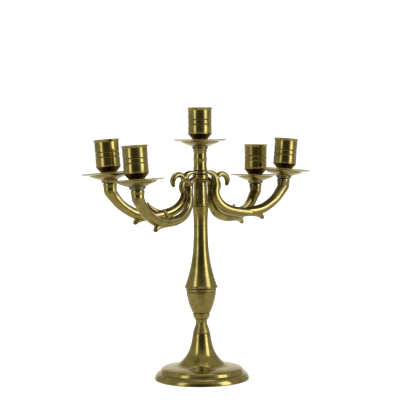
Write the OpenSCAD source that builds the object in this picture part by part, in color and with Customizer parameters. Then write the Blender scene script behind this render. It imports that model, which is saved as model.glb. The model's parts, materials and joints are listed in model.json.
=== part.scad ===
// Five-light tabletop candelabra, turned and cast brass.
// Origin: centre of the foot's underside. +Z is up the stem. Units are millimetres.
// Two twin branches swivel on the tie rod: the upper one lies above the lower one.

/* [Foot and stem] */
// Radius of the foot at the table
foot_r = 51.2; // [48:0.1:55]
// Height of the joint between the foot and the vase
foot_top_z = 49.4; // [47:0.1:51]
// Height of the joint between the vase and the trumpet
vase_top_z = 98; // [96:0.1:100]
// Height of the top rim of the trumpet
trumpet_top_z = 186.1; // [185:0.1:188]
// Radius of the knop flange at the bottom of the trumpet
knop_r = 18; // [17:0.1:20]
// Height of the top face of the spool, on which the branches turn
spool_top_z = 214.9; // [214.5:0.1:215.5]
// Radius of the tie rod and of the cup studs
rod_r = 3; // [2.5:0.1:3]

/* [Branches] */
// Height of the lower branch's ring
lower_ring_h = 5.6; // [5.5:0.1:5.8]
// Height of the upper branch's ring
upper_ring_h = 4; // [3.9:0.1:4.2]
// Outer radius of each branch ring
ring_r = 8.6; // [8.2:0.1:9]
// Distance from the stem axis to the seat at the end of an arm
seat_reach = 108.6; // [106:0.1:112]
// Height of an arm's seat above the level of its shoulder
seat_rise = -0.6; // [-1:0.1:1]
// Direction of the upper right arm; the upper left arm points the other way
upper_azimuth = 31; // [20:0.5:31]
// Direction of the lower right arm; the lower left arm points the other way
lower_azimuth = 54.5; // [54.5:0.5:66]
// Outward lean of the upper right light
lean_upper_right = 5.2; // [0:0.1:6]
// Outward lean of the upper left light
lean_upper_left = 2.8; // [0:0.1:6]
// Outward lean of the lower right light
lean_lower_right = 1.2; // [0:0.1:6]
// Outward lean of the lower left light
lean_lower_left = 0.7; // [0:0.1:6]
// Sideways lean of both left lights
side_lean_left = -3.8; // [-4:0.1:0]

/* [Pans and cups] */
// Radius of a drip pan
pan_r = 28.25; // [26:0.05:28.5]
// Height of a drip pan from its collar to its rim
pan_h = 10.3; // [10:0.1:11]
// Radius of the candle bore
candle_r = 11.25; // [10.75:0.05:11.5]
// Outer radius of the cup body
cup_r = 12.6; // [12.5:0.05:13]
// Depth of the candle bore
candle_depth = 25; // [22:0.5:25]
// Height of the cup rim above the pan collar
cup_top = 44.3; // [44:0.1:46]

/* [Hidden] */
$fn = 96;

// Fits: a piece threaded on the rod, a ring that turns on it, and the gap between rings
thread_gap = 0.06;
swivel_gap = 0.08;
ring_gap = 0.1;
spigot_r = 5.5;
spigot_h = 3;
spigot_gap = 0.05;

// Heights of the stack above the spool
lower_ring_z = spool_top_z + ring_gap;
upper_ring_z = lower_ring_z + lower_ring_h + ring_gap;
neck_z = upper_ring_z + upper_ring_h + ring_gap;
neck_top_z = neck_z + 22.7;

// Level of each branch's shoulders, from which its arms are drawn
lower_arm_z = lower_ring_z - 6.7;
upper_arm_z = upper_ring_z - 6.1;

// The foot is a shell: its ceiling carries the washer and the nut
foot_ceiling_z = 24;
foot_wall = 3;
washer_h = 1.6;
washer_r = 9;
nut_h = 5;
nut_across_flats = 10;
rod_bottom_z = 13;

// Arm sections and seats
arm_sides = 16;
scroll_sides = 10;
arm_seat_r = 7.3;
stud_below = 8.5;
stud_above = 13.8;
stud_hole_extra = 0.5;

// Pan details
collar_r = 8.6;
pan_floor = 4.2;
pan_edge = 1;

brass = [0.72, 0.58, 0.28];
cast_brass = [0.62, 0.52, 0.27];
steel = [0.55, 0.55, 0.56];

// Point on a Catmull-Rom curve between b and c, with neighbours a and d
function curve_point(a, b, c, d, t) =
    (2 * b + (c - a) * t + (2 * a - 5 * b + 4 * c - d) * t * t
        + (3 * b - a - 3 * c + d) * t * t * t) / 2;

// Smooth curve through the points p, with n steps between neighbours
function curve(p, n) = concat(
    [for (i = [0 : len(p) - 2]) for (j = [0 : n - 1])
        curve_point(p[max(i - 1, 0)], p[i], p[i + 1], p[min(i + 2, len(p) - 1)], j / n)],
    [p[len(p) - 1]]
);

// Arc of an outline: centre c, radius r, from angle a0 to angle a1
function arc(c, r, a0, a1, n = 6) = [for (i = [0 : n]) let (a = a0 + (a1 - a0) * i / n)
    c + r * [cos(a), sin(a)]];

module turned(outline) {
    rotate_extrude() polygon(outline);
}

// Removes a round hole of radius r along Z, from z0 to z1
module bored(r, z0, z1) {
    difference() {
        children();
        translate([0, 0, z0]) cylinder(r = r, h = z1 - z0);
    }
}

// Closes a turned outline on the axis: bottom first, then the outside, then the top
function solid_outline(side) = concat([[0, side[0].y]], side, [[0, side[len(side) - 1].y]]);

// A spigot that stands on the top of a turned piece, and the socket that takes it
module spigot(z) {
    translate([0, 0, z]) cylinder(r = spigot_r, h = spigot_h);
}
module spigot_socket(z) {
    translate([0, 0, z - 1]) cylinder(r = spigot_r + spigot_gap, h = spigot_h + 1.2);
}

/* ---------- foot and stem ---------- */

function foot_outside() = concat(
    [[foot_r - 0.4, 0], [foot_r, 0.5]],
    curve([[foot_r, 1.2], [foot_r - 0.6, 3.4], [foot_r - 2, 5.6], [foot_r - 3.6, 7]], 4),
    [[foot_r - 5.2, 7.3], [foot_r - 5.9, 8]],
    curve([[foot_r - 6.2, 8.8], [foot_r - 7, 10.8], [foot_r - 8.6, 12.3], [foot_r - 11, 13.1],
        [36, 14], [30, 14.9], [25.6, 16.4], [22, 19.36], [18.7, 22.85], [15.6, 27.19], [12.8, 33.22],
        [10.9, 40.3]], 4),
    [[9.9, 46.44], [9.4, foot_top_z]]
);

function foot_inside() = concat(
    [[foot_r - 3.4, -1]],
    curve([[foot_r - 3.4, 0], [foot_r - 5, 4.2], [foot_r - 8, 7], [foot_r - 11.5, 9.6],
        [34, 10.8], [26, 12], [20, 14.5], [15.5, 18.5], [12.5, foot_ceiling_z]], 4),
    [[0, foot_ceiling_z], [0, -1]]
);

module foot() color(cast_brass) {
    bored(rod_r + thread_gap, foot_ceiling_z - 1, foot_top_z + spigot_h + 1) {
        union() {
            difference() {
                turned(solid_outline(foot_outside()));
                turned(foot_inside());
            }
            spigot(foot_top_z);
        }
    }
}

module foot_washer() color(steel) {
    translate([0, 0, foot_ceiling_z - washer_h]) bored(rod_r + 0.3, -1, washer_h + 1) {
        cylinder(r = washer_r, h = washer_h);
    }
}

module foot_nut() color(steel) {
    translate([0, 0, foot_ceiling_z - washer_h - nut_h]) bored(rod_r + thread_gap, -1, nut_h + 1) {
        cylinder(r = nut_across_flats / 2 / cos(30), h = nut_h, $fn = 6);
    }
}

module tie_rod() color(steel) {
    top = neck_top_z + stud_above;
    turned([[0, rod_bottom_z], [rod_r - 0.5, rod_bottom_z], [rod_r, rod_bottom_z + 0.5],
        [rod_r, top - 0.5], [rod_r - 0.5, top], [0, top]]);
}

// The vase rises from a waisted neck to a full shoulder under the knop
function vase_outside() = concat(
    [[9, foot_top_z + 0.05], [8.7, 51.4]],
    curve([[8.5, 52.2], [8, 54.4], [7.1, 56.8], [6.35, 59], [6.15, 61], [6.4, 63.2],
        [7.2, 65.2]], 4),
    [[7.7, 65.7], [8.3, 67], [9, 69.7], [9.2, 71.4], [9.9, 72.1]],
    curve([[10.4, 73.6], [13.2, 80.5], [15.2, 88.4], [16.1, 93.4]], 5),
    [[15.7, 94.4], [16.4, 95.4], [16.5, vase_top_z - 0.5], [16, vase_top_z]]
);

module vase() color(cast_brass) {
    bored(rod_r + thread_gap, foot_top_z - 1, vase_top_z + spigot_h + 1) {
        union() {
            difference() {
                turned(solid_outline(vase_outside()));
                spigot_socket(foot_top_z);
            }
            spigot(vase_top_z);
        }
    }
}

// The trumpet narrows upwards from the knop flange, then opens to a crisp rim
function trumpet_outside() = concat(
    [[16.9, vase_top_z + 0.05], [knop_r, vase_top_z + 1.2], [knop_r, vase_top_z + 1.9]],
    curve([[knop_r - 0.9, vase_top_z + 3.4], [15.4, 106.4], [12.95, 114.8], [10.8, 123.8], [9.45, 132.3],
        [8.45, 140.8], [8, 149.8], [7.7, 159.8], [7.65, 167.8], [7.85, 175.8], [8.3, 181.4],
        [9, trumpet_top_z - 0.8]], 4),
    [[8.8, trumpet_top_z]]
);

module trumpet() color(brass) {
    bored(rod_r + thread_gap, vase_top_z - 1, trumpet_top_z + 1) {
        difference() {
            turned(solid_outline(trumpet_outside()));
            spigot_socket(vase_top_z);
        }
    }
}

function spool_outside() = concat(
    [[8.3, trumpet_top_z + 0.05], [8.5, trumpet_top_z + 0.6], [8.5, trumpet_top_z + 1.8],
        [8.1, trumpet_top_z + 2.3]],
    curve([[7.9, trumpet_top_z + 3.4], [7.4, 193.8], [7.15, 199.8], [7.1, 205.8], [6.7, 210.4]], 4),
    [[6.5, spool_top_z - 3.2], [7, spool_top_z - 2], [8, spool_top_z - 1.2], [8.2, spool_top_z - 0.3],
        [8, spool_top_z]]
);

module spool() color(brass) {
    bored(rod_r + thread_gap, trumpet_top_z - 1, spool_top_z + 1) turned(solid_outline(spool_outside()));
}

// The neck carries the centre light: it has a slight middle swell, and a bead under the pan
function neck_outside() = concat(
    [[7.3, neck_z], [7.5, neck_z + 0.3], [7.5, neck_z + 0.9]],
    curve([[7.3, neck_z + 1.7], [6.85, neck_z + 5.1], [7, neck_z + 9.6], [7.4, neck_z + 11.7]], 4),
    [[7.2, neck_z + 12.9]],
    curve([[7, neck_z + 14.1], [6.75, neck_z + 17.1], [6.9, neck_z + 19.3]], 4),
    arc([6.6, neck_z + 20.5], 1, -50, 60),
    [[7.4, neck_top_z - 0.7], [7.7, neck_top_z - 0.2], [7.6, neck_top_z - 0.05]]
);

module neck() color(brass) {
    bored(rod_r + thread_gap, neck_z - 1, neck_top_z + 1) turned(solid_outline(neck_outside()));
}

/* ---------- branches ---------- */

module branch_ring(z, h) {
    translate([0, 0, z]) bored(rod_r + swivel_gap, -1, h + 1) {
        turned([[0, 0], [ring_r - 0.5, 0], [ring_r, 0.5], [ring_r, h - 0.5], [ring_r - 0.5, h], [0, h]]);
    }
}

module lower_ring() color(brass) branch_ring(lower_ring_z, lower_ring_h);
module upper_ring() color(brass) branch_ring(upper_ring_z, upper_ring_h);

// A tapering bar swept along p in the XZ plane.
// Each point is [x, z, half height across the path, half width].
module swept_bar(p, sides) {
    rings = len(p);
    points = [for (i = [0 : rings - 1])
        let (back = p[max(i - 1, 0)], ahead = p[min(i + 1, rings - 1)],
            dx = ahead[0] - back[0], dz = ahead[1] - back[1], len_xz = norm([dx, dz]))
        for (k = [0 : sides - 1])
            let (c = cos(360 * k / sides), s = sin(360 * k / sides),
                across = p[i][2] * sign(c) * pow(abs(c), 0.85),
                out = p[i][3] * sign(s) * pow(abs(s), 0.85))
            [p[i][0] - across * dz / len_xz, out, p[i][1] + across * dx / len_xz]];
    side_faces = [for (i = [0 : rings - 2]) for (k = [0 : sides - 1])
        let (a = i * sides + k, b = i * sides + (k + 1) % sides)
        for (f = [[a, b, b + sides], [a, b + sides, a + sides]]) f];
    polyhedron(points, concat(side_faces,
        [[for (k = [sides - 1 : -1 : 0]) k], [for (k = [0 : sides - 1]) (rings - 1) * sides + k]]));
}

// Centreline of an arm, from its ring to just past its seat, with heights above its shoulder's level
function arm_line(lean, root) = let (tip = [sin(lean), cos(lean)]) curve(concat(root, [
    [19.8, -5.5, 4.5, 3.5],
    [19.1, -12, 4.8, 3.3],
    [20.3, -19, 5, 3.5],
    [24, -25.2, 5.2, 4],
    [29.2, -29.8, 5.3, 4.6],
    [37.6, -33.6, 5.2, 5],
    [50, -36, 5.2, 5.4],
    [63, -36.2, 5.4, 5.8],
    [78, -34, 5.6, 6.2],
    [88.6, -29, 5.5, 6.2],
    [97.4, -22.6, 5.6, 6.2],
    [104.2, -14.8, 6.2, 6.2],
    [seat_reach - 9 * tip.x, seat_rise - 9 * tip.y, 7, 6.5],
    [seat_reach - 2 * tip.x, seat_rise - 2 * tip.y, 7.2, 7],
    [seat_reach + tip.x, seat_rise + tip.y, arm_seat_r, arm_seat_r]
]), 3);

// Each root is no taller than its ring, so that the lower arms pass under the upper ones
upper_root = [[6, 8.1, 1.7, 3], [9.5, 8, 1.9, 3.2], [13.8, 7.2, 2.7, 3.2], [17.8, 3.8, 3.9, 3.3]];
lower_root = [[6, 8.6, 1.7, 3], [9.5, 8.4, 1.9, 3.2], [13.8, 6.9, 2.7, 3.2], [17.8, 3.4, 3.9, 3.3]];

// The scroll curls up and out from the arm's shoulder and hooks down
function scroll_line() = curve([
    [19, -4, 2.4, 2.6], [20.2, 0.8, 2.7, 3], [22.8, 4.4, 2.8, 3.2], [27, 5.8, 2.8, 3.3],
    [31.2, 4.2, 2.9, 3.3], [33.9, 0.3, 2.9, 3.1], [33.9, -3.7, 2.3, 2.6], [32.6, -6.7, 1.3, 1.6]
], 3);

// The curve on the ring's side ends in two beaks, and the outer leg rises between them:
// the thorn is the upper beak and the spur the lower one
function thorn_line() = curve([
    [47, -33.8, 2.4, 3], [53.8, -32.4, 2.6, 3], [59.2, -29.6, 2.4, 2.6], [62.7, -26.1, 1.7, 1.9],
    [64.7, -22.3, 0.8, 0.9]
], 2);

function spur_line() = curve([
    [62, -36.6, 4.2, 4.4], [69, -37.8, 3.8, 4.2], [74.6, -39.4, 3.2, 3.5], [78, -41.6, 2.6, 2.8],
    [80.4, -44.5, 1.3, 1.5]
], 2);

// The seat is cut square to the light that stands on it, and the stud's hole runs down from it
module arm(azimuth, arm_z, lean, side_lean, root) {
    rotate([0, 0, azimuth]) translate([0, 0, arm_z]) difference() {
        union() {
            swept_bar(arm_line(lean, root), arm_sides);
            swept_bar(scroll_line(), scroll_sides);
            swept_bar(thorn_line(), scroll_sides);
            swept_bar(spur_line(), scroll_sides);
        }
        translate([0, 0, -1]) cylinder(r = ring_r, h = 14);
        translate([seat_reach, 0, seat_rise]) rotate([-side_lean, lean, 0]) {
            cylinder(r = 12, h = 6);
            translate([0, 0, -stud_below - stud_hole_extra]) {
                cylinder(r = rod_r + thread_gap, h = stud_below + 2);
            }
        }
    }
}

module upper_arm_right() color(cast_brass) {
    arm(upper_azimuth, upper_arm_z, lean_upper_right, 0, upper_root);
}
module upper_arm_left() color(cast_brass) {
    arm(upper_azimuth + 180, upper_arm_z, lean_upper_left, side_lean_left, upper_root);
}
module lower_arm_right() color(cast_brass) {
    arm(lower_azimuth, lower_arm_z, lean_lower_right, 0, lower_root);
}
module lower_arm_left() color(cast_brass) {
    arm(lower_azimuth + 180, lower_arm_z, lean_lower_left, side_lean_left, lower_root);
}

/* ---------- lights: each is a pan, a cup and a stud on one seat ---------- */

// Moves a piece from the origin to one of the five seats
module at_center() translate([0, 0, neck_top_z]) children();
module at_arm(azimuth, arm_z, lean, side_lean) {
    rotate([0, 0, azimuth]) translate([seat_reach, 0, arm_z + seat_rise]) {
        rotate([-side_lean, lean, 0]) children();
    }
}
module at_upper_right() {
    at_arm(upper_azimuth, upper_arm_z, lean_upper_right, 0) children();
}
module at_upper_left() {
    at_arm(upper_azimuth + 180, upper_arm_z, lean_upper_left, side_lean_left) children();
}
module at_lower_right() {
    at_arm(lower_azimuth, lower_arm_z, lean_lower_right, 0) children();
}
module at_lower_left() {
    at_arm(lower_azimuth + 180, lower_arm_z, lean_lower_left, side_lean_left) children();
}

// A broad thin rim, a step, and a shallow bowl on a stepped collar
function pan_outline() = concat(
    [[0, 0.05], [collar_r - 0.7, 0.05], [collar_r - 0.4, 0.4], [collar_r - 0.4, 1.3], [collar_r, 1.6],
        [collar_r, 2.6]],
    curve([[collar_r + 0.5, 2.9], [12.4, 4.1], [16.6, 5.7], [19.8, 7.3]], 4),
    [[20.6, 8.2], [pan_r - 1, pan_h - pan_edge - 0.1]],
    arc([pan_r - pan_edge / 2, pan_h - pan_edge / 2], pan_edge / 2, -90, 90),
    [[21, 9.5], [20, 8.9]],
    curve([[18.6, 8], [15.6, 6.6], [11.6, 5.1], [8.6, pan_floor]], 4),
    [[0, pan_floor]]
);

module pan() {
    bored(rod_r + thread_gap, -1, pan_floor + 1) turned(pan_outline());
}

// A plain cylinder with two turned grooves, a flared lip and a coned base on a short stem
groove_z = [26.3, 31.3];
groove_depth = 0.45;
function groove(z) = [[cup_r, z - 0.6], [cup_r - groove_depth, z], [cup_r, z + 0.6]];
function cup_outside() = concat(
    [[6.2, pan_floor + 0.05], [6.5, pan_floor + 0.4], [6.5, 6.4]],
    curve([[6.6, 7], [7.2, 9.2], [9, 11.7], [12, 15.2]], 4),
    arc([cup_r - 0.9, 16.8], 1.25, -50, 50),
    [[cup_r, 18.4]],
    [for (z = groove_z) each groove(z)],
    curve([[cup_r, cup_top - 3.2], [cup_r + 0.15, cup_top - 2.2], [cup_r + 0.65, cup_top - 1.1],
        [cup_r + 0.9, cup_top - 0.4]], 3),
    [[cup_r + 0.8, cup_top]]
);

module cup() {
    difference() {
        turned(solid_outline(cup_outside()));
        translate([0, 0, cup_top - candle_depth]) cylinder(r = candle_r, h = candle_depth + 1);
        translate([0, 0, pan_floor - 1]) cylinder(r = rod_r + thread_gap, h = stud_above - pan_floor + 1.4);
    }
}

module stud() {
    turned([[0, -stud_below], [rod_r - 0.5, -stud_below], [rod_r, -stud_below + 0.5],
        [rod_r, stud_above - 0.5], [rod_r - 0.5, stud_above], [0, stud_above]]);
}

module center_pan() color(brass) at_center() pan();
module upper_right_pan() color(brass) at_upper_right() pan();
module upper_left_pan() color(brass) at_upper_left() pan();
module lower_right_pan() color(brass) at_lower_right() pan();
module lower_left_pan() color(brass) at_lower_left() pan();

module center_cup() color(brass) at_center() cup();
module upper_right_cup() color(brass) at_upper_right() cup();
module upper_left_cup() color(brass) at_upper_left() cup();
module lower_right_cup() color(brass) at_lower_right() cup();
module lower_left_cup() color(brass) at_lower_left() cup();

module upper_right_stud() color(steel) at_upper_right() stud();
module upper_left_stud() color(steel) at_upper_left() stud();
module lower_right_stud() color(steel) at_lower_right() stud();
module lower_left_stud() color(steel) at_lower_left() stud();

foot();
foot_washer();
foot_nut();
tie_rod();
vase();
trumpet();
spool();
lower_ring();
lower_arm_right();
lower_arm_left();
upper_ring();
upper_arm_right();
upper_arm_left();
neck();
center_pan();
upper_right_pan();
upper_left_pan();
lower_right_pan();
lower_left_pan();
center_cup();
upper_right_cup();
upper_left_cup();
lower_right_cup();
lower_left_cup();
upper_right_stud();
upper_left_stud();
lower_right_stud();
lower_left_stud();
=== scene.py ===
import json
import math

import bmesh
import bpy
import numpy as np
from mathutils import Matrix, Vector


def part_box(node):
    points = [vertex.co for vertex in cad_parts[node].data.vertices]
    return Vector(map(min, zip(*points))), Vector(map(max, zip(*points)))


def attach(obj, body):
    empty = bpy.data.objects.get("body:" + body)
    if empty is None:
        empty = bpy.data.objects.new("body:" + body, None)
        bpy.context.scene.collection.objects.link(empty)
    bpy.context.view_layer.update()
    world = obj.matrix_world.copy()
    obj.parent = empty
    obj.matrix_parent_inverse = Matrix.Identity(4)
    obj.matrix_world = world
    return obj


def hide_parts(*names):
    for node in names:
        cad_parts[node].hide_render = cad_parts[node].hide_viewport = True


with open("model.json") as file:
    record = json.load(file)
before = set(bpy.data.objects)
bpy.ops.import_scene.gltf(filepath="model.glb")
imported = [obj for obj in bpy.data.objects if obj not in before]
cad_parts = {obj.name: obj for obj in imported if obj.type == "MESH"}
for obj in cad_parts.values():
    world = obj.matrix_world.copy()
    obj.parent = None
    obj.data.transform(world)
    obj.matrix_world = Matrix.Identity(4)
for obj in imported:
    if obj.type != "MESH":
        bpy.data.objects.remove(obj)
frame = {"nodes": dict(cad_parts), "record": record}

# Lengths are in millimetres until a mesh is made, and in metres after that.
MM = 0.001
UP = Vector((0, 0, 1))
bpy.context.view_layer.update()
mounts = {m["name"]: m for m in frame["record"]["mounts"]}
LIGHTS = ["center", "upper_right", "upper_left", "lower_right", "lower_left"]
BRANCHES = ["upper", "lower"]


def low_z(node):
    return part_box(node)[0].z / MM


def high_z(node):
    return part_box(node)[1].z / MM


def top_radius(node):
    """Largest distance of a stem node from the stem's axis."""
    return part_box(node)[1].x / MM


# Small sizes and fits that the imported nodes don't give
seam = 0.05
thread_gap = 0.06
spigot_h = 3
pan_floor = 4.2
pan_edge = 1
collar_r = 8.6
lip_flare = 0.9
groove_heights = [26.3, 31.3]
shoulder_drop = {"lower": 6.7, "upper": 6.1}

# Heights and radii on the stem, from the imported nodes
foot_top = high_z("foot") - spigot_h
vase_top = high_z("vase") - spigot_h
trumpet_top = high_z("trumpet")
spool_top = high_z("spool")
lower_ring_z = low_z("lower_ring")
upper_ring_z = low_z("upper_ring")
ring_r = top_radius("upper_ring")
# Level of each branch's shoulders, from which its arms are drawn
arm_z = {"lower": lower_ring_z - shoulder_drop["lower"],
         "upper": upper_ring_z - shoulder_drop["upper"]}
neck_z = low_z("neck")
neck_top = low_z("center_pan") - seam
rod_bore_r = top_radius("tie_rod") + thread_gap
foot_r = top_radius("foot")
knop_r = top_radius("trumpet")

# Sizes of a light, above its seat
cup_top = high_z("center_cup") - neck_top
candle_r = mounts["center_candle_bore"]["dims"]["r_mm"]
candle_depth = mounts["center_candle_bore"]["dims"]["length_mm"]
cup_r = top_radius("center_cup") - lip_flare
pan_r = top_radius("center_pan")
pan_h = high_z("center_pan") - neck_top


def light_place(light):
    """A light's seat point, its axis, and the matrix that carries it from the origin to its seat."""
    mount = mounts[light + "_candle_bore"]
    axis = Vector(mount["axis"]).normalized()
    seat = Vector(mount["pos_m"]) / MM - axis * (cup_top - candle_depth / 2)
    return seat, axis, Matrix.Translation(seat) @ UP.rotation_difference(axis).to_matrix().to_4x4()


# ---------------------------------------------------------------- outlines


def curve(points, n=6):
    """Catmull-Rom curve through rows of numbers, with n steps between neighbours."""
    p = [np.array(q, float) for q in points]
    p = [p[0]] + p + [p[-1]]
    rows = []
    for i in range(1, len(p) - 2):
        a, b, c, d = p[i - 1 : i + 3]
        for t in np.arange(n) / n:
            rows.append((2 * b + (c - a) * t + (2 * a - 5 * b + 4 * c - d) * t * t
                         + (3 * b - a - 3 * c + d) * t ** 3) / 2)
    return [list(r) for r in rows] + [list(p[-1])]


def arc(centre, radius, start, end, n=8):
    angles = np.radians(np.linspace(start, end, n + 1))
    return [[centre[0] + radius * math.cos(a), centre[1] + radius * math.sin(a)] for a in angles]


def rounded(outline, radius, closed):
    """The outline with its sharp corners rounded off. A corner that turns less than 14 degrees
    is part of a curve and stays as it is."""
    p = [Vector(q) for q in outline]
    count = len(p)
    result = []
    for i, q in enumerate(p):
        if not closed and i in (0, count - 1):
            result.append(q)
            continue
        before, after = p[i - 1], p[(i + 1) % count]
        back, ahead = before - q, after - q
        if back.length < 1e-6 or ahead.length < 1e-6:
            continue
        turn = math.pi - back.angle(ahead)
        if turn < math.radians(14):
            result.append(q)
            continue
        cut = min(radius * math.tan(turn / 2), back.length * 0.45, ahead.length * 0.45)
        a, b = q + back.normalized() * cut, q + ahead.normalized() * cut
        for t in np.linspace(0, 1, 4):
            result.append(a * (1 - t) ** 2 + q * 2 * t * (1 - t) + b * t * t)
    return result


def foot_outline():
    inside = curve([[14, 24], [15.5, 18.5], [20, 14.5], [26, 12], [34, 10.8], [foot_r - 11.5, 9.6],
                    [foot_r - 8, 7], [foot_r - 5, 4.2], [foot_r - 3.6, 0.4]], 4)
    outside = [[foot_r - 3.2, 0], [foot_r - 0.4, 0], [foot_r, 0.5]]
    outside += curve([[foot_r, 1.2], [foot_r - 0.6, 3.4], [foot_r - 2, 5.6], [foot_r - 3.6, 7]])
    outside += [[foot_r - 5.2, 7.1], [foot_r - 5.9, 7.9]]
    outside += curve([[foot_r - 6.2, 8.8], [foot_r - 7, 10.8], [foot_r - 8.6, 12.3],
                      [foot_r - 11, 13.1], [36, 14], [30, 14.9], [25.6, 16.4], [22, 19.4], [18.7, 22.9], [15.6, 27.2],
                      [12.8, 33.2], [10.9, 40.3], [9.9, 46.4], [9.4, foot_top - 0.35]], 8)
    return [[rod_bore_r, 24]] + inside + outside + [[9, foot_top], [rod_bore_r, foot_top]]


def vase_outline():
    z = foot_top
    lower = curve([[9.3, z + 0.7], [8.9, z + 1.9], [8.5, z + 2.8], [8, z + 5], [7.1, z + 7.4],
                   [6.35, z + 9.6], [6.15, z + 11.6], [6.4, z + 13.8], [7.2, z + 15.8]])
    beads = [[7.2, z + 16.1], [8.2, z + 16.5]]
    beads += curve([[8.5, z + 17.4], [9, z + 19.4], [9.2, z + 21.2]])
    beads += [[8.7, z + 22.1], [9, z + 22.5], [10, z + 22.9]]
    body = curve([[10.5, z + 24.3], [13.2, z + 31.1], [15.2, z + 39], [16.1, z + 44]], 8)
    rim = [[15.5, z + 44.7], [15.5, z + 45.1], [16.4, z + 45.8], [16.5, vase_top - 0.5],
           [16, vase_top]]
    base = [[rod_bore_r, z + seam], [9, z + seam]]
    return base + lower + beads + body + rim + [[rod_bore_r, vase_top]]


def trumpet_outline():
    z = vase_top
    flange = [[16.9, z + seam], [knop_r - 0.2, z + 0.8], [knop_r, z + 1.3], [knop_r, z + 1.8],
              [knop_r - 0.3, z + 2.3]]
    body = curve([[knop_r - 0.9, z + 3.4], [15.4, z + 8.4], [12.95, z + 16.8], [10.8, z + 25.8],
                  [9.45, z + 34.3], [8.45, z + 42.8], [8, z + 51.8], [7.7, z + 61.8],
                  [7.65, z + 69.8], [7.85, z + 77.8], [8.3, z + 83.4]], 8)
    rim = [[8.5, trumpet_top - 1.9], [9, trumpet_top - 1.5], [9.1, trumpet_top - 0.6],
           [8.8, trumpet_top]]
    return [[rod_bore_r, z + seam]] + flange + body + rim + [[rod_bore_r, trumpet_top]]


def spool_outline():
    z = trumpet_top
    foot = [[8.3, z + seam], [8.6, z + 0.5], [8.6, z + 1.7], [8.1, z + 2.3]]
    body = curve([[7.9, z + 3.4], [7.4, z + 7.7], [7.15, z + 13.7], [7.1, z + 19.7], [6.7, z + 24.3]])
    cap = [[6.5, spool_top - 3.6], [6.4, spool_top - 3], [6.8, spool_top - 2], [8, spool_top - 1.2],
           [8.2, spool_top - 0.3], [8, spool_top]]
    return [[rod_bore_r, z + seam]] + foot + body + cap + [[rod_bore_r, spool_top]]


def ring_outline(bottom, top):
    edge = [[ring_r - 1, bottom], [ring_r, bottom + 1], [ring_r, top - 1], [ring_r - 1, top]]
    return [[rod_bore_r, bottom]] + edge + [[rod_bore_r, top]]


def neck_outline():
    z = neck_z
    flange = [[7.3, z], [7.5, z + 0.3], [7.5, z + 0.9]]
    lower = curve([[7.3, z + 1.7], [6.85, z + 5.1], [7, z + 9.6], [7.4, z + 11.7]])
    upper = curve([[7, z + 14.1], [6.75, z + 17.1], [6.9, z + 19.3]])
    top = [[7.4, neck_top - 0.9], [7.7, neck_top - 0.3], [7.6, neck_top]]
    return ([[rod_bore_r, z]] + flange + lower + [[7.5, z + 12.4], [7.15, z + 12.9]] + upper
            + arc([6.6, z + 20.5], 1, -50, 60) + top + [[rod_bore_r, neck_top]])


def pan_outline():
    collar = [[collar_r - 0.7, seam], [collar_r - 0.3, 0.4], [collar_r - 0.5, 1.2], [collar_r, 1.7],
              [collar_r, 2.5]]
    bowl = curve([[collar_r + 0.5, 2.9], [12.4, 4.1], [16.6, 5.7], [19.8, 7.3]], 8)
    rim = [[20.6, 8.2], [pan_r - pan_edge, pan_h - pan_edge - 0.1]]
    rim += arc([pan_r - pan_edge / 2, pan_h - pan_edge / 2], pan_edge / 2, -90, 90)
    inside = [[21, 9.5], [20, 8.9]] + curve([[18.6, 8], [15.6, 6.6], [11.6, 5.1], [8.6, pan_floor]])
    return [[rod_bore_r, seam]] + collar + bowl + rim + inside + [[rod_bore_r, pan_floor]]


def cup_outline():
    stem = [[6.2, pan_floor + seam], [6.6, pan_floor + 0.5], [6.5, 6.4]]
    cone = curve([[6.6, 7], [7.2, 9.2], [9, 11.7], [12, 15.2]], 8)
    body = arc([cup_r - 0.9, 16.8], 1.25, -50, 50) + [[cup_r, 18.4]]
    for z in groove_heights:
        body += [[cup_r, z - 0.7], [cup_r - 0.5, z - 0.15], [cup_r - 0.5, z + 0.15], [cup_r, z + 0.7]]
    lip = curve([[cup_r, cup_top - 3.2], [cup_r + 0.15, cup_top - 2.2], [cup_r + 0.65, cup_top - 1.1],
                 [cup_r + lip_flare, cup_top - 0.5]])
    mouth = [[cup_r + 0.8, cup_top], [candle_r + 0.5, cup_top], [candle_r, cup_top - 0.6]]
    bore = [[candle_r, cup_top - candle_depth], [0, cup_top - candle_depth]]
    stud_hole = [[0, 15.2], [rod_bore_r, 15.2], [rod_bore_r, pan_floor + seam]]
    return stud_hole + stem + cone + body + lip + mouth + bore


# ---------------------------------------------------------------- meshes


def add_piece(name, mesh, body, node, material):
    """Makes a mesh in metres into a piece of the object that stands for a CAD node."""
    piece = bpy.data.objects.new(name, mesh)
    bpy.context.scene.collection.objects.link(piece)
    mesh.polygons.foreach_set("use_smooth", [True] * len(mesh.polygons))
    mesh.materials.append(material)
    weigh = piece.modifiers.new("even_shading", "WEIGHTED_NORMAL")
    weigh.weight = 80
    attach(piece, body)
    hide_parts(node)
    return piece


def turned_mesh(name, outline, place, sides, radius):
    """A turned solid. Its outline is closed through its bore, or meets the axis at both ends."""
    closed = outline[0][0] > 0
    points = rounded(outline, radius, closed)
    angles = 2 * math.pi * np.arange(sides) / sides
    work = bmesh.new()
    rings = [[work.verts.new((p[0] * math.cos(a) * MM, p[0] * math.sin(a) * MM, p[1] * MM))
              for a in angles] for p in points]
    pairs = list(zip(rings, rings[1:])) + ([(rings[-1], rings[0])] if closed else [])
    for near, far in pairs:
        for k in range(sides):
            m = (k + 1) % sides
            work.faces.new((near[k], near[m], far[m], far[k]))
    bmesh.ops.remove_doubles(work, verts=work.verts, dist=1e-7)
    bmesh.ops.recalc_face_normals(work, faces=work.faces)
    mesh = bpy.data.meshes.new(name)
    work.to_mesh(mesh)
    work.free()
    metres = place.copy()
    metres.translation = place.translation * MM
    mesh.transform(metres)
    return mesh


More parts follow.
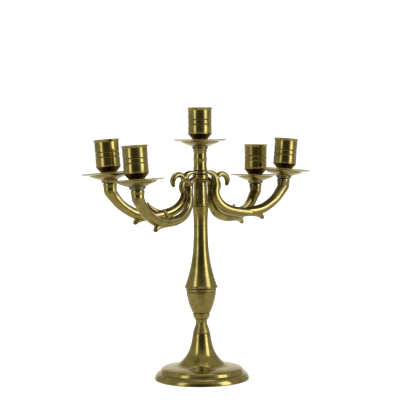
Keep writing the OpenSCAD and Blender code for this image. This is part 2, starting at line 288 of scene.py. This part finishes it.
def add_turned(name, node, outline, body, material, place=Matrix.Identity(4), sides=144,
               radius=0.25):
    mesh = turned_mesh(name, outline, place, sides, radius)
    return add_piece(name, mesh, body, node, material)


# ---------------------------------------------------------------- arms

# How finely the arm's tubes are melted together, in millimetres, and how often that is smoothed
MELT_VOXEL = 0.36
SOFTEN_TIMES = 4
# Vertices that mark_wear_and_shade handles at a time
BLOCK = 4000
# An arm's centreline, as [distance from the stem, height above the shoulder's level,
# half height across the path, half width]. The last part depends on the light's lean.
hub_root = {
    "upper": [[6, 8.1, 1.7, 3], [9.5, 8, 1.9, 3.2], [13.8, 7.2, 2.7, 3.2], [17.8, 3.8, 3.9, 3.3]],
    "lower": [[6, 8.6, 1.7, 3], [9.5, 8.4, 1.9, 3.2], [13.8, 6.9, 2.7, 3.2], [17.8, 3.4, 3.9, 3.3]],
}
hub_curve = [[19.8, -5.5, 4.5, 3.5], [19.1, -12, 4.8, 3.3], [20.3, -19, 5, 3.5], [24, -25.2, 5.2, 4],
             [29.2, -29.8, 5.3, 4.6], [37.6, -33.6, 5.2, 5], [50, -36, 5.2, 5.4]]
outer_leg = [[63, -36.2, 5.4, 5.8], [78, -34, 5.6, 6.1], [88.6, -29, 5.5, 6.1],
             [97.4, -22.6, 5.6, 6.1], [104.2, -14.8, 6.2, 6.2]]
scroll = [[32.6, -6.8, 1.5, 1.8], [33.9, -3.8, 2.4, 2.7], [34, 0.3, 3, 3.2], [31.3, 4.2, 3, 3.4],
          [27, 5.8, 3, 3.4], [22.8, 4.4, 3, 3.3], [20.4, 0.6, 3, 3.2], [20.6, -4.4, 2.8, 3.1],
          [21, -10, 2.4, 2.9]]
thorn = [[47, -33.6, 2.4, 3.2], [53.6, -32.2, 2.7, 3.2], [59, -29.4, 2.5, 2.7], [62.6, -26, 1.8, 2],
         [64.3, -23.4, 1.2, 1.3], [64.8, -22.2, 0.8, 0.9]]
husk = [[44, -35, 4.6, 5.2], [54, -36.4, 4.8, 5.9], [63, -37, 4.6, 6.2], [69, -38.1, 3.9, 5.4],
        [74.6, -39.6, 3.4, 4.2], [78, -41.6, 2.9, 3.2], [79.8, -43.6, 2.3, 2.5],
        [80.6, -44.8, 1.5, 1.7]]
# Places painted darker: the scroll's end and root, the beaks, and the arm's side next to the
# stem, where it is painted shade, as [distance from the stem, height, radius]
SHADE_AND_DARK_TIPS = [[33, -6.5, 8], [80.5, -44.5, 6], [27.4, -1, 5], [64.8, -22, 3], [13.4, -2, 8], [13.4, -9, 8],
        [14, -16, 8]]
# An arm's section is an ellipse with a ridge along each flank: its reach at angles from the
# concave edge, as a share of the ellipse's
RIDGE_ANGLES = [0, 18, 36, 48, 57, 65, 80, 100, 130, 160, 180]
RIDGE_REACH = [1, 0.99, 0.92, 0.89, 0.95, 1.03, 1, 0.98, 0.98, 0.99, 1]


def frames(rows):
    """Centres along a path, the unit vectors to its concave edge, and those to its side. Rows
    are [x, z, half height, half width, y, ridge] in the arm's own plane."""
    centre = rows[:, [0, 4, 1]]
    ahead = np.gradient(centre, axis=0)
    ahead /= np.linalg.norm(ahead, axis=1)[:, None]
    across = np.cross(ahead, [0, 1, 0])
    across /= np.linalg.norm(across, axis=1)[:, None]
    return centre, across, np.cross(across, ahead)


def sweep(work, rows, sides=48, steps=8):
    """Adds a closed tube to the bmesh. Rows are as in frames()."""
    rows = np.array(curve(rows, steps))
    centre, across, side = frames(rows)
    angles = 2 * math.pi * np.arange(sides) / sides
    from_edge = np.degrees(np.minimum(angles, 2 * math.pi - angles))
    ridged = np.interp(from_edge, RIDGE_ANGLES, RIDGE_REACH)
    rings = []
    for i, row in enumerate(rows):
        reach = 1 + (ridged - 1) * row[5]
        c, s = reach * np.cos(angles), reach * np.sin(angles)
        ring = centre[i] + row[2] * c[:, None] * across[i] + row[3] * s[:, None] * side[i]
        rings.append([work.verts.new(v) for v in ring])
    for near, far in zip(rings, rings[1:]):
        for k in range(sides):
            m = (k + 1) % sides
            work.faces.new((near[k], near[m], far[m], far[k]))
    work.faces.new(rings[0][::-1])
    work.faces.new(rings[-1])


def in_plane(rows, ridge):
    """Rows of a path that stays in the arm's own plane, with one strength of ridge."""
    return [[*row, 0, ridge] for row in rows]


def mark_wear_and_shade(mesh, path, tips):
    """Stores two numbers at each vertex in millimetres: how far it lies across the arm, from -1
    to 1 on the concave edge, which places a painted highlight and painted shade, and how near it is
    to a place painted darker: painted shade beside the stem, and the scroll's end and root and the beaks."""
    rows = np.array(curve(path, 8))
    centre, across, _ = frames(rows)
    points = np.empty(len(mesh.vertices) * 3)
    mesh.vertices.foreach_get("co", points)
    points = points.reshape(-1, 3)
    place, tip = np.empty(len(points)), np.zeros(len(points))
    for start in range(0, len(points), BLOCK):
        block = points[start : start + BLOCK]
        nearest = ((block[:, None] - centre[None]) ** 2).sum(2).argmin(1)
        offset = ((block - centre[nearest]) * across[nearest]).sum(1)
        place[start : start + BLOCK] = offset / rows[nearest, 2]
    for x, z, radius in tips:
        distance = np.linalg.norm(points - [x, 0, z], axis=1)
        tip = np.maximum(tip, np.clip(1 - distance / radius, 0, 1))
    mesh.attributes.new("across", "FLOAT", "POINT").data.foreach_set("value", place)
    mesh.attributes.new("tip", "FLOAT", "POINT").data.foreach_set("value", tip)


def evaluated(piece):
    """The mesh of an object with its modifiers applied."""
    graph = bpy.context.evaluated_depsgraph_get()
    return bpy.data.meshes.new_from_object(piece.evaluated_get(graph))


def cast_mesh(name, work):
    """Melts overlapping tubes in millimetres into one casting with soft inner corners."""
    mesh = bpy.data.meshes.new(name)
    work.to_mesh(mesh)
    work.free()
    piece = bpy.data.objects.new(name, mesh)
    bpy.context.scene.collection.objects.link(piece)
    remesh = piece.modifiers.new("melt", "REMESH")
    remesh.mode = "VOXEL"
    remesh.voxel_size = MELT_VOXEL
    soften = piece.modifiers.new("soften", "SMOOTH")
    soften.factor = 0.5
    soften.iterations = SOFTEN_TIMES
    cast = evaluated(piece)
    bpy.data.objects.remove(piece)
    return cast


def cut_by(mesh, cutter):
    """The mesh with the cutter's solid taken away."""
    piece = bpy.data.objects.new("casting", mesh)
    tool = bpy.data.objects.new("cutter", cutter)
    for made in (piece, tool):
        bpy.context.scene.collection.objects.link(made)
    trim = piece.modifiers.new("trim", "BOOLEAN")
    trim.operation = "DIFFERENCE"
    trim.solver = "EXACT"
    trim.object = tool
    result = evaluated(piece)
    bpy.data.objects.remove(piece)
    bpy.data.objects.remove(tool)
    return result


def ring_cutter():
    """A cylinder a little wider than a branch ring, in millimetres."""
    radius = ring_r + 0.02
    work = bmesh.new()
    bmesh.ops.create_cone(work, cap_ends=True, segments=96, radius1=radius, radius2=radius, depth=60)
    mesh = bpy.data.meshes.new("ring_cutter")
    work.to_mesh(mesh)
    work.free()
    return mesh


def add_arm(light, material):
    """Casts the arm under a light: its path, scroll, thorn and spur as one mesh."""
    branch = light.split("_")[0]
    node = light.replace("_", "_arm_")
    seat, axis, _ = light_place(light)
    turn = Matrix.Rotation(math.atan2(seat.y, seat.x), 4, "Z")
    home = Matrix.Translation((0, 0, arm_z[branch])) @ turn
    end, lean = home.inverted() @ seat, turn.inverted() @ axis

    def on_axis(below, half_height, half_width, ridge=0):
        p = end - lean * below
        return [p.x, p.z, half_height, half_width, p.y, ridge]

    path = [*in_plane(hub_root[branch], 0), *in_plane(hub_curve, 1), *in_plane(outer_leg, 1),
            on_axis(9, 6.8, 6.4, 0.6), on_axis(5.5, 7, 6.7, 0.3), on_axis(3, 7.2, 7),
            on_axis(1.6, 7.2, 7.1), on_axis(0.7, 7, 6.9), on_axis(0.05, 6.4, 6.3)]
    work = bmesh.new()
    sweep(work, path)
    for branchlet in (scroll, thorn, husk):
        sweep(work, in_plane(branchlet, 0), sides=32)
    mesh = cut_by(cast_mesh(node, work), ring_cutter())
    mark_wear_and_shade(mesh, path, SHADE_AND_DARK_TIPS)
    mesh.transform(Matrix.Scale(MM, 4) @ home)
    return add_piece(light + "_casting", mesh, branch + "_branch", node, material)


# ---------------------------------------------------------------- materials

GOLD = (0.50, 0.395, 0.1, 1)
OLIVE = (0.33, 0.28, 0.07, 1)
BROWN = (0.22, 0.145, 0.05, 1)
# BROWN_DARK is painted shade in grooves, gaps, undercuts and the arms' concave bevels, and a painted dark reflection
# under each cup
BROWN_DARK = (0.10, 0.065, 0.026, 1)
# DARK is for pits and specks, and for the arms' darker places: painted shade beside the stem, and their ends
DARK = (0.06, 0.036, 0.016, 1)
# PALE is a painted highlight on the arms' ridges, partly real wear from polishing
PALE = (0.82, 0.7, 0.34, 1)
VERDIGRIS = (0.125, 0.145, 0.08, 1)
STEEL = (0.52, 0.52, 0.53, 1)
STEEL_FILM = (0.33, 0.32, 0.31, 1)
# The clear film of wax and old polish on every metal
COAT_WEIGHT = 0.8
COAT_ROUGHNESS = 0.12

class Shader:
    """A material under construction. Each method adds a node and returns its output."""

    def __init__(self, name):
        self.material = bpy.data.materials.new(name)
        self.material.use_nodes = True
        self.tree = self.material.node_tree
        self.surface = self.tree.nodes["Principled BSDF"]

    def node(self, kind, inputs, **settings):
        made = self.tree.nodes.new(kind)
        for key, value in settings.items():
            setattr(made, key, value)
        for key, value in inputs.items():
            self.feed(made.inputs[key], value)
        return made

    def feed(self, socket, value):
        if isinstance(value, bpy.types.NodeSocket):
            self.tree.links.new(value, socket)
        else:
            socket.default_value = value

    def math(self, operation, *values, clamp=False):
        return self.node("ShaderNodeMath", dict(enumerate(values)), operation=operation,
                         use_clamp=clamp).outputs[0]

    def step(self, value, low, high):
        """0 below low and 1 above high, smooth between them."""
        inputs = {"Value": value, "From Min": low, "From Max": high}
        return self.node("ShaderNodeMapRange", inputs, interpolation_type="SMOOTHSTEP").outputs[0]

    def spread(self, value, low, high):
        """0 to 1 becomes low to high."""
        inputs = {"Value": value, "To Min": low, "To Max": high}
        return self.node("ShaderNodeMapRange", inputs).outputs[0]

    def noise(self, vector, scale, detail=4, roughness=0.55, distortion=0):
        inputs = {"Vector": vector, "Scale": scale, "Detail": detail, "Roughness": roughness,
                  "Distortion": distortion}
        return self.node("ShaderNodeTexNoise", inputs).outputs[0]

    def lines(self, along, scale, detail=2):
        """Noise that changes only along one number."""
        return self.node("ShaderNodeTexNoise", {"W": along, "Scale": scale, "Detail": detail},
                         noise_dimensions="1D").outputs[0]

    def mix(self, factor, a, b):
        """Colour a where the factor is 0, and b where it is 1."""
        return self.node("ShaderNodeMix", {0: factor, 6: a, 7: b}, data_type="RGBA").outputs[2]

    def band(self, value, low, high, soft):
        """1 between low and high, falling to 0 over soft on both sides."""
        rise = self.step(value, low - soft, low)
        fall = self.step(value, high + soft, high)
        return self.math("MULTIPLY", rise, fall)

    def most(self, values):
        """The largest of several values."""
        result = values[0]
        for value in values[1:]:
            result = self.math("MAXIMUM", result, value)
        return result

    def finish(self, colour, roughness, bumps):
        """Wires up the metal under its film. Bumps are (height, depth in metres), the last on top."""
        normal = None
        for height, depth in bumps:
            inputs = {"Height": height, "Distance": depth, "Strength": 1}
            if normal:
                inputs["Normal"] = normal
            normal = self.node("ShaderNodeBump", inputs).outputs[0]
        self.feed(self.surface.inputs["Base Color"], colour)
        self.feed(self.surface.inputs["Roughness"], roughness)
        self.feed(self.surface.inputs["Normal"], normal)
        self.surface.inputs["Metallic"].default_value = 1
        self.surface.inputs["Coat Weight"].default_value = COAT_WEIGHT
        self.surface.inputs["Coat Roughness"].default_value = COAT_ROUGHNESS
        return self.material


def local_parts(shader, place):
    """(vector, distance from the axis, height) in metres, in a turned piece's own frame."""
    seen = shader.node("ShaderNodeTexCoord", {}).outputs["Object"]
    inputs = {"Vector": seen, "Location": place.translation * MM, "Rotation": place.to_euler()}
    local = shader.node("ShaderNodeMapping", inputs, vector_type="TEXTURE").outputs[0]
    parts = shader.node("ShaderNodeSeparateXYZ", {0: local}).outputs
    flat = shader.node("ShaderNodeCombineXYZ", {0: parts[0], 1: parts[1]}).outputs[0]
    distance = shader.node("ShaderNodeVectorMath", {0: flat}, operation="LENGTH").outputs["Value"]
    return local, distance, parts[2]


def height_bands(shader, height, bands):
    """1 inside any of the bands, which are (low, high, soft) heights in mm."""
    return shader.most([shader.band(height, low * MM, high * MM, soft * MM)
                        for low, high, soft in bands])


def turned_brass(name, place=Matrix.Identity(4), shade_bands=(), dirt_bands=(), dull=0.0, seed=0.0):
    """Lathe-turned, aged brass. Bands are (low, high, soft) heights in mm: the dark ones are painted
    shade in brown, in grooves, gaps between parts and undercuts, and a painted dark reflection on the cone under a
    cup, and the dirt ones have some green. From 0 to 1, dull makes the surface rougher."""
    shader = Shader(name)
    local, distance, height = local_parts(shader, place)
    offset = shader.node("ShaderNodeVectorMath", {0: local, 1: (seed, seed * 0.7, seed * 0.3)},
                         operation="ADD").outputs[0]
    along = shader.math("ADD", shader.math("MULTIPLY", distance, 1.3), height)
    cloud = shader.noise(offset, 95, 6, 0.6, 0.4)
    patch = shader.noise(offset, 32, 5, 0.62, 0.8)
    specks = shader.noise(offset, 700, 3)
    turning = shader.lines(along, 2600, 3)
    waves = shader.lines(along, 420, 1)
    colour = shader.mix(shader.step(cloud, 0.38, 0.66), GOLD, OLIVE)
    colour = shader.mix(shader.spread(shader.step(patch, 0.5, 0.72), 0, 0.5), colour, BROWN)
    colour = shader.mix(shader.spread(shader.step(turning, 0.35, 0.75), 0, 0.16), colour, BROWN)
    colour = shader.mix(shader.spread(shader.step(specks, 0.62, 0.74), 0, 0.35), colour, DARK)
    # Painted shade: the dark bands turn brown, varied by the cloud noise
    if shade_bands:
        painted_shade_mask = height_bands(shader, height, shade_bands)
        shading_band = shader.math("MULTIPLY", painted_shade_mask, shader.spread(cloud, 0.6, 0.95), clamp=True)
        colour = shader.mix(shading_band, colour, BROWN_DARK)
    if dirt_bands:
        dirt = height_bands(shader, height, dirt_bands)
        settled = shader.math("MULTIPLY", dirt, shader.step(patch, 0.36, 0.6))
        colour = shader.mix(shader.spread(settled, 0, 0.8), colour, VERDIGRIS)
    roughness = shader.math("ADD", shader.spread(cloud, 0.08 + 0.2 * dull, 0.24 + 0.26 * dull),
                            shader.spread(turning, -0.03, 0.05))
    bumps = [(cloud, 0.00003), (waves, 0.000008), (turning, 0.000003)]
    return shader.finish(colour, roughness, bumps)


def cast_brass(name, seed=0.0):
    """Cast brass, filed and buffed by hand, with brown and olive tarnish, a painted highlight along each flank's
    ridge that is partly real wear, painted shade on the concave bevel and beside the stem, and darker ends.
    """
    shader = Shader(name)
    seen = shader.node("ShaderNodeTexCoord", {}).outputs["Object"]
    offset = shader.node("ShaderNodeVectorMath", {0: seen, 1: (seed, seed, 0)},
                         operation="ADD").outputs[0]
    cloud = shader.noise(offset, 70, 6, 0.62, 0.7)
    patch = shader.noise(offset, 26, 4, 0.6, 1)
    grain = shader.noise(offset, 520, 5, 0.65)
    pits = shader.noise(offset, 1300, 2)
    colour = shader.mix(shader.step(cloud, 0.36, 0.64), GOLD, OLIVE)
    colour = shader.mix(shader.spread(shader.step(patch, 0.46, 0.68), 0, 0.62), colour, BROWN)
    colour = shader.mix(shader.spread(shader.step(pits, 0.62, 0.72), 0, 0.5), colour, DARK)
    across = shader.node("ShaderNodeAttribute", {}, attribute_name="across").outputs["Fac"]
    tip = shader.node("ShaderNodeAttribute", {}, attribute_name="tip").outputs["Fac"]
    wander = shader.math("ADD", across, shader.spread(cloud, -0.12, 0.12))
    # A pale band along each flank's ridge: painted highlight, partly real wear from polishing, which also makes it
    # smoother
    shading_band = shader.band(wander, 0.36, 0.46, 0.14)
    # A dark brown band on the concave bevel above the ridge: painted shade
    bevel_shade = shader.band(wander, 0.64, 0.97, 0.12)
    colour = shader.mix(shader.spread(shading_band, 0, 0.95), colour, PALE)
    colour = shader.mix(shader.spread(bevel_shade, 0, 0.8), colour, BROWN_DARK)
    # Painted shade beside the stem, and darker at the scroll's end and root and at the beaks
    colour = shader.mix(shader.spread(shader.step(tip, 0.1, 0.9), 0, 0.8), colour, DARK)
    roughness = shader.math("ADD", shader.spread(cloud, 0.08, 0.22),
                            shader.spread(grain, -0.03, 0.04))
    roughness = shader.math("SUBTRACT", roughness, shader.spread(shading_band, 0, 0.08))
    return shader.finish(colour, roughness, [(cloud, 0.00007), (grain, 0.000012), (pits, 0.000005)])


def bright_steel(name):
    """Plain machined steel with fine turning lines and a grey film."""
    shader = Shader(name)
    local, distance, height = local_parts(shader, Matrix.Identity(4))
    film = shader.noise(local, 140, 5)
    lines = shader.lines(shader.math("ADD", distance, height), 3000, 2)
    colour = shader.mix(film, STEEL, STEEL_FILM)
    return shader.finish(colour, shader.spread(film, 0.25, 0.45), [(lines, 0.000006)])


# ---------------------------------------------------------------- the object


def build_stem():
    # Painted shade under the trumpet's flange where it meets the vase, and in the foot's groove at its step
    turned = turned_brass("turned_stem", seed=3, dull=0.05,
                          shade_bands=[(vase_top - 1, vase_top + 0.8, 0.5)])
    foot = turned_brass("foot_brass", shade_bands=[(6.9, 7.3, 0.3)], dull=0.05, seed=1)
    # Painted shade in the spool's cove and in the gaps between spool, rings and neck
    hub = turned_brass("hub_brass", seed=7, shade_bands=[
        (spool_top - 3.6, spool_top - 1.1, 0.4), (spool_top - 0.3, lower_ring_z + 0.5, 0.3),
        (upper_ring_z - 0.5, upper_ring_z + 0.5, 0.3), (neck_z - 0.4, neck_z + 0.3, 0.3)])
    # Painted shade at the vase's joint with the foot, under its bead and in its grooves
    vase = turned_brass("vase_brass", dull=1, seed=2, shade_bands=[
        (foot_top - 0.2, foot_top + 0.4, 0.4), (foot_top + 15.6, foot_top + 16.3, 0.4),
        (foot_top + 21.6, foot_top + 22.5, 0.5), (vase_top - 3.3, vase_top - 2.9, 0.3)])
    add_turned("foot_shell", "foot", foot_outline(), "stem", foot, sides=224)
    add_turned("vase_body", "vase", vase_outline(), "stem", vase)
    add_turned("trumpet_body", "trumpet", trumpet_outline(), "stem", turned)
    add_turned("spool_body", "spool", spool_outline(), "stem", hub, sides=112)
    add_turned("neck_body", "neck", neck_outline(), "stem", hub, sides=112)
    for branch in BRANCHES:
        outline = ring_outline(low_z(branch + "_ring"), high_z(branch + "_ring"))
        add_turned(branch + "_ring_body", branch + "_ring", outline, branch + "_branch",
                   hub, sides=112, radius=0.5)


def build_light(light, seed):
    _, _, place = light_place(light)
    body = "stem" if light == "center" else light.split("_")[0] + "_branch"
    # Painted shade at the foot of the pan's collar and at its step
    pan = turned_brass(light + "_pan_brass", place, seed=seed, dull=0.5,
                       dirt_bands=[(1.2, 3.4, 1.2)], shade_bands=[(0, 0.5, 0.4), (1.1, 1.5, 0.3)])
    # On the cup, a painted dark reflection on the cone under it, and painted shade in its grooves
    cup = turned_brass(light + "_cup_brass", place, seed=seed + 11, shade_bands=[
        (pan_floor - 1, 15.9, 0.4), *[(z - 0.2, z + 0.2, 0.35) for z in groove_heights]])
    add_turned(light + "_pan_body", light + "_pan", pan_outline(), body, pan, place)
    add_turned(light + "_cup_body", light + "_cup", cup_outline(), body, cup, place,
               sides=112)


def build_hidden():
    steel = bright_steel("bright_steel")
    for name, node in frame["nodes"].items():
        if name.endswith("_stud") or name in ("foot_washer", "foot_nut", "tie_rod"):
            node.data.materials.clear()
            node.data.materials.append(steel)


# ---------------------------------------------------------------- studio

# The camera's lens in mm, its place in metres, and how far it looks down and is rolled, in degrees
LENS, SENSOR = 113.3, 36
CAMERA_PLACE = (-0.0005, -1.35, 0.2518)
CAMERA_DOWN, CAMERA_ROLL = 2.5, -0.49

# Softboxes as (name, degrees to the right of the camera's direction, height, distance from the
# stem, width, height of the box, watts, whether reflections show it), with lengths in metres
SOFTBOXES = [
    ("right_softbox", 60, 0.55, 1.3, 0.6, 1.2, 5, True),
    ("left_softbox", -50, 0.55, 1.4, 0.45, 1.2, 2.5, True),
    ("top_softbox", 180, 1.6, 0.3, 1, 1, 2, True),
    ("floor_light", 0, 2.4, 0.1, 4, 4, 40, False),
]
SOFTBOX_AIM = Vector((0, 0, 0.17))
SOFTBOX_COLOUR = (0.94, 0.98, 1)

# The room that reflections see, as (from, to, strength at from, strength at to) along one
# direction of sight: the camera's side and the backdrop along Y, and the table along Z
CAMERA_SIDE = (-0.97, -0.6, 0.06, 0.36)
BACKDROP = (0.75, 0.97, 0, 0.4)
TABLE = (-0.25, -0.02, 0.22, 0)
ROOM_COLOUR = (1, 0.955, 0.76, 1)
WHITE = (1, 1, 1, 1)
WHITE_STRENGTH = 1.05

FLOOR_RADIUS = 9
FLOOR_TONES = ((0.86, 0.86, 0.86, 1), (0.9, 0.9, 0.89, 1))
# The floor's own glow rises with distance, so that it meets the background without a line
GLOW_DISTANCES = (0.1, 1.2)
GLOW_STRENGTHS = (0.74, 1.15)

def build_floor():
    bpy.ops.mesh.primitive_circle_add(vertices=96, radius=FLOOR_RADIUS, fill_type="NGON")
    floor = bpy.context.object
    floor.name = "floor"
    shader = Shader("pale_floor")
    seen = shader.node("ShaderNodeTexCoord", {}).outputs["Object"]
    tone = shader.noise(seen, 6, 3)
    colour = shader.mix(tone, *FLOOR_TONES)
    shader.feed(shader.surface.inputs["Base Color"], colour)
    shader.surface.inputs["Roughness"].default_value = 0.9
    distance = shader.node("ShaderNodeVectorMath", {0: seen}, operation="LENGTH").outputs["Value"]
    strength = shader.spread(shader.step(distance, *GLOW_DISTANCES), *GLOW_STRENGTHS)
    glow = shader.node("ShaderNodeEmission", {"Color": colour, "Strength": strength})
    lit = shader.node("ShaderNodeAddShader", {0: shader.surface.outputs[0], 1: glow.outputs[0]})
    shader.feed(shader.tree.nodes["Material Output"].inputs["Surface"], lit.outputs[0])
    floor.data.materials.append(shader.material)
    floor.visible_glossy = False


def add_softbox(name, azimuth, height, distance, width, tall, watts, glossy):
    """An area light aimed at the object."""
    data = bpy.data.lights.new(name, "AREA")
    data.shape = "RECTANGLE"
    data.size = width
    data.size_y = tall
    data.energy = watts
    data.color = SOFTBOX_COLOUR
    lamp = bpy.data.objects.new(name, data)
    a = math.radians(azimuth)
    lamp.location = (distance * math.sin(a), -distance * math.cos(a), height)
    lamp.rotation_euler = (SOFTBOX_AIM - lamp.location).to_track_quat("-Z", "Y").to_euler()
    lamp.visible_camera = False
    lamp.visible_glossy = glossy
    bpy.context.scene.collection.objects.link(lamp)


def build_world():
    """White where the camera sees it. Reflections see a grey room, darker on the camera's side."""
    world = bpy.data.worlds.new("studio")
    bpy.context.scene.world = world
    world.use_nodes = True
    tree = world.node_tree
    nodes, links = tree.nodes, tree.links
    nodes.clear()
    direction = nodes.new("ShaderNodeTexCoord").outputs["Generated"]
    parts = nodes.new("ShaderNodeSeparateXYZ")
    links.new(direction, parts.inputs[0])

    def ramp(source, start, end, first, last):
        made = nodes.new("ShaderNodeMapRange")
        made.interpolation_type = "SMOOTHSTEP"
        values = {"From Min": start, "From Max": end, "To Min": first, "To Max": last}
        for key, value in values.items():
            made.inputs[key].default_value = value
        links.new(source, made.inputs["Value"])
        return made.outputs[0]

    def total(a, b):
        made = nodes.new("ShaderNodeMath")
        links.new(a, made.inputs[0])
        links.new(b, made.inputs[1])
        return made.outputs[0]

    room = ramp(parts.outputs["Y"], *CAMERA_SIDE)
    backdrop = ramp(parts.outputs["Y"], *BACKDROP)
    table = ramp(parts.outputs["Z"], *TABLE)
    grey = nodes.new("ShaderNodeBackground")
    grey.inputs["Color"].default_value = ROOM_COLOUR
    links.new(total(total(room, backdrop), table), grey.inputs["Strength"])
    white = nodes.new("ShaderNodeBackground")
    white.inputs["Color"].default_value = WHITE
    white.inputs["Strength"].default_value = WHITE_STRENGTH
    path = nodes.new("ShaderNodeLightPath")
    pick = nodes.new("ShaderNodeMixShader")
    links.new(path.outputs["Is Camera Ray"], pick.inputs[0])
    links.new(grey.outputs[0], pick.inputs[1])
    links.new(white.outputs[0], pick.inputs[2])
    output = nodes.new("ShaderNodeOutputWorld")
    links.new(pick.outputs[0], output.inputs[0])


def build_camera():
    camera = bpy.data.objects.new("camera", bpy.data.cameras.new("camera"))
    camera.data.sensor_width = SENSOR
    camera.data.lens = LENS
    pitch, roll = math.radians(90 - CAMERA_DOWN), math.radians(CAMERA_ROLL)
    camera.matrix_world = (Matrix.Translation(CAMERA_PLACE) @ Matrix.Rotation(pitch, 4, "X")
                           @ Matrix.Rotation(roll, 4, "Z"))
    bpy.context.scene.collection.objects.link(camera)
    bpy.context.scene.camera = camera


build_camera()
build_world()
build_floor()
for softbox in SOFTBOXES:
    add_softbox(*softbox)

build_stem()
build_hidden()
cast = cast_brass("cast_stem", seed=5)
for number, light in enumerate(LIGHTS):
    build_light(light, 4 + 3 * number)
    if light != "center":
        add_arm(light, cast)

view = bpy.context.scene.view_settings
view.view_transform = "Standard"
view.look = "None"
